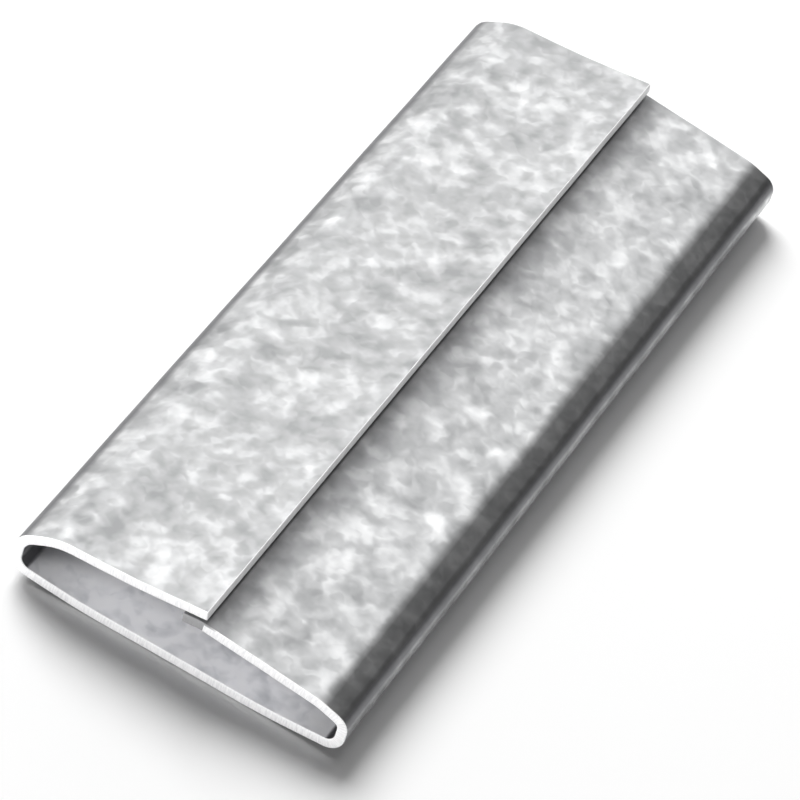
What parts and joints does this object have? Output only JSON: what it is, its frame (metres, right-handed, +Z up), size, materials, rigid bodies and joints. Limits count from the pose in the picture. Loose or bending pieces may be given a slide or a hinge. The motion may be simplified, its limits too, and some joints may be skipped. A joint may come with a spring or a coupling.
{
  "type": "strapping push seal",
  "caption": "Flat open-seam tube folded from galvanised sheet, which joins the overlapped ends of steel strapping when it is crimped.",
  "frame": {"origin": "middle of the seal on the flat stripe of its back, where it rests", "axes": "+X across the seal from the outer flap's side to the inner flap's side, +Y along the strap, +Z up out of the seam"},
  "size_m": [0.022, 0.0572, 0.0053],
  "materials": {
    "galvanised_sheet": "galvanised, with a visible crystal pattern and bright sheared ends"
  },
  "bodies": {
    "root": {"push_seal": "galvanised_sheet"}
  },
  "joints": []
}
